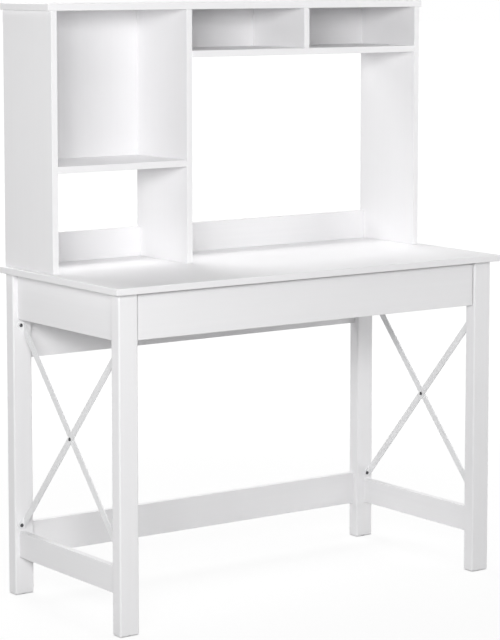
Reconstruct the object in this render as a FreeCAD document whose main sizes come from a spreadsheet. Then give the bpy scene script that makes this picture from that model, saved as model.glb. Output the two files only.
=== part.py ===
import FreeCAD, Part
import math
import os
import re
import Sketcher
from FreeCAD import Placement, Rotation, Vector

# A student desk with a hutch, in white-finished board.
# Frame: X across the desk, Y from the sitter to the wall, Z up; the origin is on the floor
# under the middle of the desktop. Lengths are in millimetres.

doc = FreeCAD.newDocument("StudentDesk")
sheet = doc.addObject("Spreadsheet::Sheet", "Sheet")

# Driving dimensions: alias and value.
SIZES = [
    # desktop
    ("desk_width", 1060),
    ("desk_depth", 490),
    ("desk_height", 750),
    ("top_thick", 15),
    ("top_round", 2),
    ("end_overhang", 15),
    ("front_overhang", 17),
    ("rear_overhang", 2),
    # legs and their glides
    ("leg_width", 48),
    ("leg_depth", 32),
    ("leg_round", 4),
    ("leg_foot_chamfer", 1),
    ("glide_height", 2),
    ("glide_radius", 12),
    ("glide_round", 1),
    ("nail_radius", 1.5),
    ("nail_length", 14),
    ("nail_tip", 3),
    # aprons, panel and stretchers
    ("board_thick", 15),
    ("board_round", 1),
    ("apron_height", 103),
    ("apron_inset", 12),
    ("rear_panel_height", 195),
    ("rear_recess", 14),
    ("rear_rail_height", 77),
    ("rear_rail_bottom", 85),
    ("side_rail_height", 59),
    ("side_rail_bottom", 87),
    ("side_rail_inset", 11),
    # cross braces of flat steel
    ("brace_width", 16),
    ("brace_thick", 3),
    ("brace_inset", 17),
    ("brace_end_gap", 14.5),
    ("brace_lug_reach", 7.5),
    ("brace_lug_lift", 5),
    ("brace_fold_round", 2.5),
    ("brace_hole_radius", 2.6),
    ("brace_screw_radius", 2.5),
    ("brace_screw_length", 24),
    ("brace_screw_tip", 4),
    ("brace_head_radius", 4.2),
    ("brace_head_height", 2.2),
    ("brace_socket_width", 3),
    ("brace_socket_depth", 1.4),
    ("brace_nut_height", 4),
    ("brace_nut_crown", 0.8),
    # drawer
    ("drawer_front_height", 97),
    ("drawer_top_gap", 4),
    ("drawer_side_gap", 3),
    ("drawer_recess", 5),
    ("drawer_lift", 14),
    ("drawer_box_height", 72),
    ("drawer_box_length", 350),
    ("bottom_thick", 3),
    ("groove_depth", 6),
    ("groove_lift", 8),
    ("groove_play", 0.1),
    # drawer runners
    ("runner_width", 12.5),
    ("runner_sheet", 1.2),
    ("runner_rise", 24),
    ("runner_foot", 12),
    ("runner_setback", 3),
    ("runner_air", 1.3),
    ("track_width", 8.5),
    ("lip_gap", 4.8),
    ("rail_screw_rise", 4),
    ("batten_height", 46),
    ("batten_drop", 5),
    ("roller_radius", 9.5),
    ("roller_width", 6.5),
    ("roller_round", 1),
    ("roller_inset", 14),
    ("roller_gap", 0.3),
    ("roller_play", 0.05),
    ("roller_side_gap", 0.3),
    ("roller_pin_radius", 2),
    ("roller_pin_head", 3.5),
    ("roller_pin_head_height", 0.9),
    # hutch
    ("hutch_inset", 16),
    ("hutch_depth", 207),
    ("hutch_side_height", 573),
    ("hutch_top_overhang", 7),
    ("cube_width", 338.5),
    ("cube_shelf_gap", 220),
    ("cubby_shelf_gap", 465.5),
    ("hutch_rail_height", 68),
    ("back_thick", 3),
    ("back_lap", 6),
    ("back_play", 0.2),
    # dowels, cam fittings and screws
    ("hole_play", 0.05),
    ("hole_bottom", 1),
    ("dowel_radius", 4),
    ("dowel_length", 30),
    ("dowel_seat", 10),
    ("cam_radius", 7.5),
    ("cam_height", 12),
    ("cam_reach", 24),
    ("cam_slot", 8.6),
    ("cam_ease", 0.4),
    ("cam_cross_length", 7),
    ("cam_cross_width", 1.6),
    ("cam_cross_depth", 1.8),
    ("cam_cap_radius", 8.5),
    ("cam_cap_height", 0.8),
    ("cam_thread_radius", 3),
    ("cam_thread_length", 10),
    ("cam_shank_radius", 2.5),
    ("cam_head_radius", 3.6),
    ("cam_head_length", 3),
    ("cam_collar", 1.5),
    ("cam_bolt_ease", 1),
    ("cam_bolt_hole", 4.1),
    ("screw_head_radius", 5),
    ("screw_head_height", 3),
    ("screw_shank_radius", 3.5),
    ("screw_thread_radius", 2.5),
    ("screw_length", 50),
    ("screw_shank_short", 1.2),
    ("screw_tip_length", 4),
    ("screw_tip_radius", 0.5),
    ("screw_socket_width", 4),
    ("screw_socket_depth", 2.2),
    ("screw_cap_radius", 6.5),
    ("screw_cap_height", 0.8),
    ("small_screw_radius", 1.75),
    ("small_head_radius", 3.2),
    ("small_head_height", 1.1),
    ("small_tip_length", 3),
    ("small_tip_radius", 0.3),
    ("small_cross_length", 4),
    ("small_cross_width", 0.9),
    ("small_cross_depth", 0.6),
    ("rail_screw_length", 12),
    ("batten_screw_length", 31),
    ("pin_radius", 0.7),
    ("pin_length", 14),
    ("pin_tip", 1.5),
    # angle brackets under the desktop
    ("bracket_leg", 20),
    ("bracket_width", 16),
    ("bracket_thick", 2),
    ("bracket_hole", 12),
    ("bracket_inset", 80),
    ("bracket_rear_spread", 250),
    ("bracket_screw_length", 12),
    ("bracket_head_height", 2.2),
    ("bracket_bore_radius", 1.95),
    # places of the fasteners, from the edge of the board that they join
    ("top_fixing", 20),
    ("edge_fixing", 16),
    ("wide_fixing", 38),
    ("rail_fixing", 28),
    ("rail_cam", 54),
    ("hutch_fixing", 35),
    ("hutch_rear_fixing", 60),
    ("pin_pitch", 80),
    ("pin_edge", 3),
]

# Places worked out from the driving dimensions.
PLACES = [
    ("half_width", "desk_width / 2"),
    ("desk_front", "-desk_depth / 2"),
    ("desk_rear", "desk_depth / 2"),
    ("top_under", "desk_height - top_thick"),
    ("leg_out", "half_width - end_overhang"),
    ("leg_in", "leg_out - leg_width"),
    ("front_leg_face", "desk_front + front_overhang"),
    ("front_leg_back", "front_leg_face + leg_depth"),
    ("rear_leg_back", "desk_rear - rear_overhang"),
    ("rear_leg_face", "rear_leg_back - leg_depth"),
    ("side_span", "rear_leg_face - front_leg_back"),
    ("side_middle", "(rear_leg_face + front_leg_back) / 2"),
    ("apron_out", "leg_out - apron_inset"),
    ("apron_in", "apron_out - board_thick"),
    ("apron_bottom", "top_under - apron_height"),
    ("side_rail_out", "leg_out - side_rail_inset"),
    ("side_rail_in", "side_rail_out - board_thick"),
    ("side_rail_top", "side_rail_bottom + side_rail_height"),
    ("rear_panel_face", "rear_leg_face + rear_recess"),
    ("rear_panel_back", "rear_panel_face + board_thick"),
    ("rear_panel_bottom", "top_under - rear_panel_height"),
    ("rear_rail_top", "rear_rail_bottom + rear_rail_height"),
    ("brace_fix", "leg_out - brace_inset"),
    ("brace_high", "apron_bottom - brace_end_gap"),
    ("brace_low", "side_rail_top + brace_end_gap"),
    ("brace_middle", "(brace_high + brace_low) / 2"),
    ("fold_high", "brace_high - brace_lug_lift"),
    ("fold_low", "brace_low + brace_lug_lift"),
    ("brace_slope", "(fold_high - fold_low) / (side_span - 2 * brace_thick)"),
    ("brace_upright", "brace_width * sqrt(1 + brace_slope ^ 2)"),
    ("drawer_face", "front_leg_face + drawer_recess"),
    ("drawer_face_back", "drawer_face + board_thick"),
    ("drawer_half", "leg_in - drawer_side_gap"),
    ("drawer_bottom", "top_under - drawer_top_gap - drawer_front_height"),
    ("box_bottom", "drawer_bottom + drawer_lift"),
    ("box_top", "box_bottom + drawer_box_height"),
    ("box_out", "leg_in - runner_width"),
    ("box_in", "box_out - board_thick"),
    ("box_rear", "drawer_face_back + drawer_box_length"),
    ("box_back_face", "box_rear - board_thick"),
    ("groove_bottom", "box_bottom + groove_lift"),
    ("groove_top", "groove_bottom + bottom_thick + 2 * groove_play"),
    ("track_top", "box_bottom + runner_rise"),
    ("track_under", "track_top - runner_sheet"),
    ("roller_level", "track_under - roller_gap - roller_radius"),
    ("flange_top", "roller_level - roller_radius - roller_gap"),
    ("rail_under", "flange_top - runner_sheet"),
    ("rail_over", "track_top + lip_gap + runner_sheet"),
    ("rail_web", "leg_in - runner_sheet"),
    ("rail_edge", "box_out + runner_sheet + runner_air"),
    ("rail_front", "drawer_face_back + runner_setback"),
    ("rail_rear", "rail_front + drawer_box_length"),
    ("front_roller_place", "rail_front + roller_inset"),
    ("rear_roller_place", "box_rear - roller_inset"),
    ("batten_bottom", "rail_under - batten_drop"),
    ("batten_top", "batten_bottom + batten_height"),
    ("hutch_out", "half_width - hutch_inset"),
    ("hutch_in", "hutch_out - board_thick"),
    ("hutch_rear", "desk_rear"),
    ("hutch_front", "hutch_rear - hutch_depth"),
    ("back_face", "hutch_rear - back_thick"),
    ("middle_left", "cube_width - hutch_in"),
    ("middle_right", "middle_left + board_thick"),
    ("divider_left", "(middle_right + hutch_in - board_thick) / 2"),
    ("divider_right", "divider_left + board_thick"),
    ("hutch_under", "desk_height + hutch_side_height"),
    ("hutch_over", "hutch_under + board_thick"),
    ("cube_shelf_under", "desk_height + cube_shelf_gap"),
    ("cube_shelf_over", "cube_shelf_under + board_thick"),
    ("cubby_shelf_under", "desk_height + cubby_shelf_gap"),
    ("cubby_shelf_over", "cubby_shelf_under + board_thick"),
    ("hutch_rail_face", "hutch_rear - board_thick"),
    ("hutch_rail_over", "desk_height + hutch_rail_height"),
    ("hutch_fix_front", "hutch_front + hutch_fixing"),
    ("hutch_fix_rear", "hutch_rear - hutch_rear_fixing"),
    ("hutch_fix_middle", "(hutch_fix_front + hutch_fix_rear) / 2"),
]

AXES = "xyz"
DIRECTIONS = {"x": Vector(1, 0, 0), "y": Vector(0, 1, 0), "z": Vector(0, 0, 1)}
# Origin plane square to each axis, the two axes its sketches lie along, and its normal's sign.
PLANES = {"x": ("YZ_Plane", "yz", 1), "y": ("XZ_Plane", "xz", -1), "z": ("XY_Plane", "xy", 1)}

nodes = []      # every sub-part, in assembly order
corners = {}    # each body's origin, as three formulas

# Holes that fasteners go in, by kind: filled while the boards are drilled.
dowel_holes = []
drawer_dowel_holes = []
cam_bolt_holes = []
cam_pockets = []
screw_holes = []
capped_screw_holes = []
back_pin_holes = []
brace_screw_holes = []
brace_bolt_holes = []


# ---------------------------------------------------------------- sheet and formulas

def fill_sheet():
    """Puts each size in the sheet as a plain number and each place as a formula."""
    row = 1
    for alias, value in SIZES:
        sheet.set("A%d" % row, alias)
        sheet.set("B%d" % row, str(value))
        sheet.setAlias("B%d" % row, alias)
        row += 1
    for alias, formula in PLACES:
        sheet.set("A%d" % row, alias)
        sheet.setAlias("B%d" % row, alias)
        sheet.set("B%d" % row, "=" + formula)
        row += 1
    doc.recompute()


def size(alias):
    """The present value of a size or place."""
    return float(sheet.get(alias))


def formula(text):
    """A formula of the sheet's aliases, as another object writes it."""
    return re.sub(r"\b[a-z][a-z0-9_]*", lambda found: "Sheet." + found.group(0), text)


def local(body, axis, place):
    """A place in the desk's frame, measured from the body's own origin along an axis."""
    return "(%s) - (%s)" % (place, corners[body.Name][AXES.index(axis)])


# ---------------------------------------------------------------- bodies, sketches and cuts

def new_body(name, at):
    """An empty body whose origin is bound to three formulas."""
    body = doc.addObject("PartDesign::Body", name)
    body.Label = name
    corners[name] = at
    for axis, place in zip(AXES, at):
        body.setExpression("Placement.Base." + axis, formula(place))
    nodes.append(body)
    return body


def sketch_on(body, axis, level):
    """A sketch square to an axis, at a level in the desk's frame."""
    role, _, sense = PLANES[axis]
    plane = [feature for feature in body.Origin.OriginFeatures if feature.Role == role][0]
    sketch = body.newObject("Sketcher::SketchObject", body.Name + "_sketch")
    sketch.AttachmentSupport = [(plane, "")]
    sketch.MapMode = "FlatFace"
    offset = local(body, axis, level)
    if sense < 0:
        offset = "-(%s)" % offset
    sketch.setExpression("AttachmentOffset.Base.z", formula(offset))
    return sketch


def bind(sketch, constraint, text):
    """Adds a constraint and binds its value to a formula."""
    index = sketch.addConstraint(constraint)
    sketch.setExpression("Constraints[%d]" % index, formula(text))


def polygon(body, axis, level, points):
    """A closed outline whose corners are bound to formulas in the desk's frame."""
    sketch = sketch_on(body, axis, level)
    count = len(points)
    turn = 2 * math.pi / count
    start = [Vector(math.cos(turn * i), math.sin(turn * i), 0) for i in range(count)]
    for i in range(count):
        sketch.addGeometry(Part.LineSegment(start[i], start[(i + 1) % count]))
    for i in range(count):
        sketch.addConstraint(Sketcher.Constraint("Coincident", i, 2, (i + 1) % count, 1))
    first, second = PLANES[axis][1]
    for i, point in enumerate(points):
        across = Sketcher.Constraint("DistanceX", -1, 1, i, 1, start[i].x)
        bind(sketch, across, local(body, first, point[0]))
        along = Sketcher.Constraint("DistanceY", -1, 1, i, 1, start[i].y)
        bind(sketch, along, local(body, second, point[1]))
    return sketch


def rectangle(body, axis, level, low, high):
    """A rectangle between two corners, each a pair of formulas."""
    return polygon(body, axis, level, [low, (high[0], low[1]), high, (low[0], high[1])])


def pad(body, sketch, axis, length):
    """A pad towards +axis."""
    feature = body.newObject("PartDesign::Pad", body.Name + "_pad")
    feature.Profile = sketch
    feature.setExpression("Length", formula(length))
    feature.Reversed = PLANES[axis][2] < 0
    sketch.Visibility = False
    return feature


def pocket(body, sketch, axis, toward, depth):
    """A pocket from its sketch towards +axis or -axis."""
    feature = body.newObject("PartDesign::Pocket", body.Name + "_pocket")
    feature.Profile = sketch
    feature.setExpression("Length", formula(depth))
    feature.Reversed = toward == PLANES[axis][2]
    sketch.Visibility = False
    return feature


def drill(body, axis, level, toward, depth, radius, points):
    """Round holes along an axis. Each point is three formulas; the one along the axis is unused."""
    sketch = sketch_on(body, axis, level)
    first, second = PLANES[axis][1]
    for i, point in enumerate(points):
        sketch.addGeometry(Part.Circle(Vector(i + 1, i + 1, 0), Vector(0, 0, 1), 0.3))
        across = Sketcher.Constraint("DistanceX", -1, 1, i, 3, i + 1.0)
        bind(sketch, across, local(body, first, point[AXES.index(first)]))
        along = Sketcher.Constraint("DistanceY", -1, 1, i, 3, i + 1.0)
        bind(sketch, along, local(body, second, point[AXES.index(second)]))
        bind(sketch, Sketcher.Constraint("Radius", i, 0.3), radius)
    pocket(body, sketch, axis, toward, depth)
    return (body, sketch, DIRECTIONS[axis] * toward)


def notch(body, low, high):
    """A box-shaped cut between two corners in the desk's frame."""
    sketch = rectangle(body, "z", low[2], low[:2], high[:2])
    pocket(body, sketch, "z", 1, "(%s) - (%s)" % (high[2], low[2]))


def board(name, low, high, rounding="board_round"):
    """A flat board between two corners, with its edges eased."""
    body = new_body(name, low)
    sketch = rectangle(body, "z", low[2], low[:2], high[:2])
    block = pad(body, sketch, "z", "(%s) - (%s)" % (high[2], low[2]))
    doc.recompute()
    ease = body.newObject("PartDesign::Fillet", name + "_ease")
    ease.Base = (block, ["Edge1"])
    ease.UseAllEdges = True
    ease.setExpression("Radius", formula(rounding))
    body.Tip = ease
    return body


def mirrored_x(side, inner, outer):
    """Low and high X of a piece between two distances from the middle, on side -1 or +1."""
    if side < 0:
        return "-(%s)" % outer, "-(%s)" % inner
    return inner, outer


# ---------------------------------------------------------------- joints between boards

def dowel_joint(end_board, mate, axis, level, toward, points, kept=dowel_holes):
    """Dowels from a board's end into the face of its mate."""
    into_end = "dowel_length - dowel_seat + hole_bottom"
    radius = "dowel_radius + hole_play"
    hole = drill(end_board, axis, level, toward, into_end, radius, points)
    drill(mate, axis, level, -toward, "dowel_seat + hole_bottom", radius, points)
    kept.append(hole)


def cam_joint(end_board, mate, axis, level, toward, points, cam_axis, cam_level, cam_toward, capped=True):
    """Cam bolts screwed in the mate's face, and the cams that draw the board's end to it."""
    bolt_depth = "cam_reach + cam_head_length"
    hole = drill(end_board, axis, level, toward, bolt_depth, "cam_bolt_hole", points)
    thread = "cam_thread_radius + hole_play"
    drill(mate, axis, level, -toward, "cam_thread_length + hole_bottom", thread, points)
    cam_bolt_holes.append(hole)
    index = AXES.index(axis)
    sign = "+" if toward > 0 else "-"
    centres = []
    for point in points:
        centre = list(point)
        centre[index] = "%s %s cam_reach" % (level, sign)
        centres.append(centre)
    depth = "cam_height + hole_bottom / 2"
    radius = "cam_radius + 2 * hole_play"
    cam_pocket = drill(end_board, cam_axis, cam_level, cam_toward, depth, radius, centres)
    cam_pockets.append((cam_pocket, DIRECTIONS[axis] * -toward, capped))


def screw_joint(outer, thickness, inner, axis, level, toward, points, capped=False):
    """Connecting screws through the face of one board into the end of another.

    A capped screw sits deeper, under a thin cap that lies flush with the face.
    """
    sign = "+" if toward > 0 else "-"
    head = "screw_head_radius + hole_play"
    shank = "screw_shank_radius + hole_play"
    thread = "screw_thread_radius + hole_play"
    seat = level
    if capped:
        cap = "screw_cap_radius + hole_play"
        cap_seat = drill(outer, axis, level, toward, "screw_cap_height", cap, points)
        capped_screw_holes.append(cap_seat)
        seat = "%s %s screw_cap_height" % (level, sign)
    hole = drill(outer, axis, seat, toward, "screw_head_height + hole_play", head, points)
    drill(outer, axis, level, toward, thickness, shank, points)
    beyond = "%s %s %s" % (level, sign, thickness)
    depth = "screw_length - %s + screw_cap_height + hole_bottom" % thickness
    drill(inner, axis, beyond, toward, depth, thread, points)
    screw_holes.append(hole)


# ---------------------------------------------------------------- desk

def desktop():
    """The desktop, a board with softly rounded edges."""
    low = ("-half_width", "desk_front", "top_under")
    high = ("half_width", "desk_rear", "desk_height")
    return board("desktop", low, high, "top_round")


def leg(name, side, face, back):
    """A leg of oblong section with rounded long edges, standing on its glide."""
    low_x, high_x = mirrored_x(side, "leg_in", "leg_out")
    body = new_body(name, (low_x, face, "glide_height"))
    sketch = rectangle(body, "z", "glide_height", (low_x, face), (high_x, back))
    post = pad(body, sketch, "z", "top_under - glide_height")
    doc.recompute()
    upright = []
    for i, edge in enumerate(post.Shape.Edges):
        if abs(edge.tangentAt(edge.FirstParameter).z) > 0.5:
            upright.append("Edge%d" % (i + 1))
    rounding = body.newObject("PartDesign::Fillet", name + "_rounding")
    rounding.Base = (post, upright)
    rounding.setExpression("Radius", formula("leg_round"))
    body.Tip = rounding
    doc.recompute()
    under = []
    half_way = rounding.Shape.BoundBox.Center.z
    for i, patch in enumerate(rounding.Shape.Faces):
        if patch.BoundBox.ZLength < 0.01 and patch.CenterOfMass.z < half_way:
            under.append("Face%d" % (i + 1))
    foot = body.newObject("PartDesign::Chamfer", name + "_foot")
    foot.Base = (rounding, under)
    foot.setExpression("Size", formula("leg_foot_chamfer"))
    body.Tip = foot
    centre = ("(%s + %s) / 2" % (low_x, high_x), "(%s + %s) / 2" % (face, back), "glide_height")
    depth = "nail_length + hole_bottom"
    nail = drill(body, "z", "glide_height", 1, depth, "nail_radius + hole_play", [centre])
    return body, nail


def frame_boards(side, word):
    """The apron and the stretcher of one side frame."""
    low_x, high_x = mirrored_x(side, "apron_in", "apron_out")
    low = (low_x, "front_leg_back", "apron_bottom")
    apron = board("side_apron_" + word, low, (high_x, "rear_leg_face", "top_under"))
    low_x, high_x = mirrored_x(side, "side_rail_in", "side_rail_out")
    low = (low_x, "front_leg_back", "side_rail_bottom")
    rail = board("side_stretcher_" + word, low, (high_x, "rear_leg_face", "side_rail_top"))
    return apron, rail


def side_frame(side, word, front_leg, rear_leg):
    """Joins the apron and the stretcher of one side to its two legs."""
    apron, rail = frame_boards(side, word)
    apron_x = "%d * (apron_in + board_thick / 2)" % side
    rail_x = "%d * (side_rail_in + board_thick / 2)" % side
    inner_apron = "%d * apron_in" % side
    for level, toward, mate in (("front_leg_back", 1, front_leg), ("rear_leg_face", -1, rear_leg)):
        dowels = [
            (apron_x, level, "apron_bottom + edge_fixing"),
            (apron_x, level, "apron_bottom + edge_fixing + wide_fixing"),
        ]
        dowel_joint(apron, mate, "y", level, toward, dowels)
        cams = [(apron_x, level, "top_under - top_fixing")]
        cam_joint(apron, mate, "y", level, toward, cams, "x", inner_apron, side)
        dowels = [
            (rail_x, level, "side_rail_bottom + edge_fixing"),
            (rail_x, level, "side_rail_top - edge_fixing"),
        ]
        dowel_joint(rail, mate, "y", level, toward, dowels)
    return apron, rail


def rear_boards(left_leg, right_leg):
    """The modesty panel and the rear stretcher, with their cams on the wall side."""
    low = ("-leg_in", "rear_panel_face", "rear_panel_bottom")
    panel = board("rear_panel", low, ("leg_in", "rear_panel_back", "top_under"))
    low = ("-leg_in", "rear_panel_face", "rear_rail_bottom")
    rail = board("rear_stretcher", low, ("leg_in", "rear_panel_back", "rear_rail_top"))
    middle = "rear_panel_face + board_thick / 2"
    for level, toward, mate in (("-leg_in", 1, left_leg), ("leg_in", -1, right_leg)):
        dowels = [
            (level, middle, "rear_panel_bottom + edge_fixing"),
            (level, middle, "top_under - edge_fixing"),
        ]
        dowel_joint(panel, mate, "x", level, toward, dowels)
        cams = [
            (level, middle, "rear_panel_bottom + edge_fixing + wide_fixing"),
            (level, middle, "top_under - edge_fixing - wide_fixing"),
        ]
        cam_joint(panel, mate, "x", level, toward, cams, "y", "rear_panel_back", -1, capped=False)
        dowel_joint(rail, mate, "x", level, toward, [(level, middle, "rear_rail_top - edge_fixing")])
        cams = [(level, middle, "rear_rail_bottom + rail_fixing")]
        cam_joint(rail, mate, "x", level, toward, cams, "y", "rear_panel_back", -1, capped=False)
    return panel, rail


def seat_desktop(top, legs):
    """One dowel from the top of each leg into the desktop."""
    for (body, _), side, face, back in legs:
        low_x, high_x = mirrored_x(side, "leg_in", "leg_out")
        point = ("(%s + %s) / 2" % (low_x, high_x), "(%s + %s) / 2" % (face, back), "top_under")
        dowel_joint(body, top, "z", "top_under", -1, [point])


# ---------------------------------------------------------------- cross braces

def brace_lug(body, level, hole_place, fold_place):
    """The end of a bar, bent flat on a leg: it narrows from the fold to a round end about its hole."""
    sketch = sketch_on(body, "y", level)
    fixing = corners[body.Name][0]
    # The outline starts close to its final place: fold line, upper edge, round end, lower edge.
    foot = size("brace_low")
    fold_x = size("brace_lug_reach") + size("brace_thick") / 2
    half_fold = size("brace_upright") / 2
    radius = size("brace_width") / 2
    low = Vector(fold_x, size(fold_place) - half_fold - foot, 0)
    high = Vector(fold_x, size(fold_place) + half_fold - foot, 0)
    centre = Vector(0, size(hole_place) - foot, 0)
    top = centre + Vector(0, radius, 0)
    under = centre - Vector(0, radius, 0)
    circle = Part.Circle(centre, Vector(0, 0, 1), radius)
    sketch.addGeometry(Part.LineSegment(low, high))
    sketch.addGeometry(Part.LineSegment(high, top))
    sketch.addGeometry(Part.ArcOfCircle(circle, math.pi / 2, 3 * math.pi / 2))
    sketch.addGeometry(Part.LineSegment(under, low))
    sketch.addConstraint(Sketcher.Constraint("Coincident", 0, 2, 1, 1))
    sketch.addConstraint(Sketcher.Constraint("Tangent", 1, 2, 2, 1))
    sketch.addConstraint(Sketcher.Constraint("Tangent", 2, 2, 3, 1))
    sketch.addConstraint(Sketcher.Constraint("Coincident", 3, 2, 0, 1))
    fold = "%s + brace_lug_reach + brace_thick / 2" % fixing
    ends = [
        (0, 1, low, fold, "%s - brace_upright / 2" % fold_place),
        (0, 2, high, fold, "%s + brace_upright / 2" % fold_place),
        (2, 3, centre, fixing, hole_place),
    ]
    for line, point, start, x, z in ends:
        across = Sketcher.Constraint("DistanceX", -1, 1, line, point, start.x)
        bind(sketch, across, local(body, "x", x))
        along = Sketcher.Constraint("DistanceY", -1, 1, line, point, start.y)
        bind(sketch, along, local(body, "z", z))
    bind(sketch, Sketcher.Constraint("Radius", 2, radius), "brace_width / 2")
    return pad(body, sketch, "y", "brace_thick")


def ease_folds(body, last):
    """Rounds the outer side of both folds, which lie on the faces of the legs."""
    doc.recompute()
    fold_x = size("brace_lug_reach") + size("brace_thick") / 2
    folds = []
    for i, edge in enumerate(last.Shape.Edges):
        box = edge.BoundBox
        upright = abs(edge.tangentAt(edge.FirstParameter).z) > 0.99
        on_face = min(abs(box.YMin), abs(box.YMin - size("side_span"))) < 0.01
        if upright and on_face and abs(box.XMin - fold_x) < 0.01:
            folds.append("Edge%d" % (i + 1))
    ease = body.newObject("PartDesign::Fillet", body.Name + "_folds")
    ease.Base = (last, folds)
    ease.setExpression("Radius", formula("brace_fold_round"))
    body.Tip = ease


def brace(name, side, layer, front, rear):
    """A flat bar from leg to leg, with both ends bent towards -X and screwed to the legs' faces.

    Each end, "low" or "high", names the place of its hole and of its fold.
    """
    fixing = "%d * brace_fix + %d * brace_thick / 2" % (side, layer)
    skin = "%s + brace_lug_reach - brace_thick / 2" % fixing
    body = new_body(name, (fixing, "front_leg_back", "brace_low"))
    start = "front_leg_back + brace_thick"
    finish = "rear_leg_face - brace_thick"
    outline = [
        (start, "fold_%s - brace_upright / 2" % front), (finish, "fold_%s - brace_upright / 2" % rear),
        (finish, "fold_%s + brace_upright / 2" % rear), (start, "fold_%s + brace_upright / 2" % front),
    ]
    sketch = polygon(body, "x", skin, outline)
    pad(body, sketch, "x", "brace_thick")
    brace_lug(body, "front_leg_back", "brace_" + front, "fold_" + front)
    last = brace_lug(body, finish, "brace_" + rear, "fold_" + rear)
    ease_folds(body, last)
    front_hole = [(fixing, start, "brace_" + front)]
    brace_screw_holes.append(drill(body, "y", start, -1, "brace_thick", "brace_hole_radius", front_hole))
    rear_hole = [(fixing, finish, "brace_" + rear)]
    brace_screw_holes.append(drill(body, "y", finish, 1, "brace_thick", "brace_hole_radius", rear_hole))
    crossing = [(skin, "side_middle", "brace_middle")]
    return drill(body, "x", skin, 1, "brace_thick", "brace_hole_radius", crossing)


def braces():
    """Two crossed bars in each side frame, lying face to face where a bolt holds them together."""
    for side, word in ((-1, "left"), (1, "right")):
        brace("brace_rising_" + word, side, 1, "low", "high")
        brace_bolt_holes.append(brace("brace_falling_" + word, side, -1, "high", "low"))


def brace_holes(body, side, level, toward, rising_z, falling_z):
    """Holes for the two brace screws of one leg."""
    points = [
        ("%d * brace_fix + brace_thick / 2" % side, level, rising_z),
        ("%d * brace_fix - brace_thick / 2" % side, level, falling_z),
    ]
    depth = "brace_screw_length - brace_thick + hole_bottom"
    drill(body, "y", level, toward, depth, "brace_screw_radius + hole_play", points)


# ---------------------------------------------------------------- drawer and runners

def drawer_front():
    """The wide handleless front, a little behind the faces of the legs."""
    low = ("-drawer_half", "drawer_face", "drawer_bottom")
    high = ("drawer_half", "drawer_face_back", "top_under - drawer_top_gap")
    body = board("drawer_front", low, high)
    low = ("-box_in - groove_depth", "drawer_face_back - groove_depth", "groove_bottom")
    notch(body, low, ("box_in + groove_depth", "drawer_face_back", "groove_top"))
    return body


def drawer_side(side, word, front):
    """A side of the drawer box, grooved for the bottom."""
    low_x, high_x = mirrored_x(side, "box_in", "box_out")
    low = (low_x, "drawer_face_back", "box_bottom")
    body = board("drawer_side_" + word, low, (high_x, "box_rear", "box_top"))
    low_x, high_x = mirrored_x(side, "box_in", "box_in + groove_depth")
    low = (low_x, "drawer_face_back", "groove_bottom")
    notch(body, low, (high_x, "box_rear", "groove_top"))
    middle = "%d * (box_in + board_thick / 2)" % side
    level = "drawer_face_back"
    points = [(middle, level, "groove_top + edge_fixing"), (middle, level, "box_top - edge_fixing")]
    dowel_joint(body, front, "y", level, 1, points, drawer_dowel_holes)
    return body


def drawer_back(left, right):
    """The back of the drawer box, standing on the bottom panel."""
    low = ("-box_in", "box_back_face", "groove_top")
    body = board("drawer_back", low, ("box_in", "box_rear", "box_top"))
    for side, wall in ((-1, left), (1, right)):
        level = "%d * box_in" % side
        middle = "box_back_face + board_thick / 2"
        points = [(level, middle, "groove_top + edge_fixing"), (level, middle, "box_top - edge_fixing")]
        dowel_joint(body, wall, "x", level, -side, points, drawer_dowel_holes)
    return body


def drawer_bottom():
    """The thin bottom panel, held in the grooves of the front and the sides."""
    body = new_body("drawer_bottom", ("-box_in", "drawer_face_back", "groove_bottom + groove_play"))
    edge = "groove_depth - groove_play"
    low = ("-box_in - (%s)" % edge, "drawer_face_back - (%s)" % edge)
    high = ("box_in + %s" % edge, "box_rear")
    sketch = rectangle(body, "z", "groove_bottom + groove_play", low, high)
    pad(body, sketch, "z", "bottom_thick")
    return body


def batten(side, word, apron):
    """A spacer batten that brings the runner out level with the legs' inner faces."""
    low_x, high_x = mirrored_x(side, "leg_in", "apron_in")
    low = (low_x, "front_leg_back", "batten_bottom")
    body = board("runner_batten_" + word, low, (high_x, "rear_leg_face", "batten_top"))
    level = "%d * leg_in" % side
    height = "(batten_top + rail_over) / 2"
    points = [(level, place, height) for place in ("front_leg_back + wide_fixing", "side_middle",
                                                   "rear_leg_face - wide_fixing")]
    head = "small_head_radius + hole_play"
    hole = drill(body, "x", level, side, "small_head_height + hole_play", head, points)
    thread = "small_screw_radius + hole_play"
    drill(body, "x", level, side, "apron_in - leg_in", thread, points)
    depth = "batten_screw_length - (apron_in - leg_in) + hole_bottom"
    drill(apron, "x", "%d * apron_in" % side, side, depth, thread, points)
    return body, hole


def runner_screw_points(level, front, rear, height):
    """Three places along a runner."""
    middle = "(%s + %s) / 2" % (front, rear)
    places = ("%s + wide_fixing" % front, middle, "%s - wide_fixing" % rear)
    return [(level, place, height) for place in places]


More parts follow.
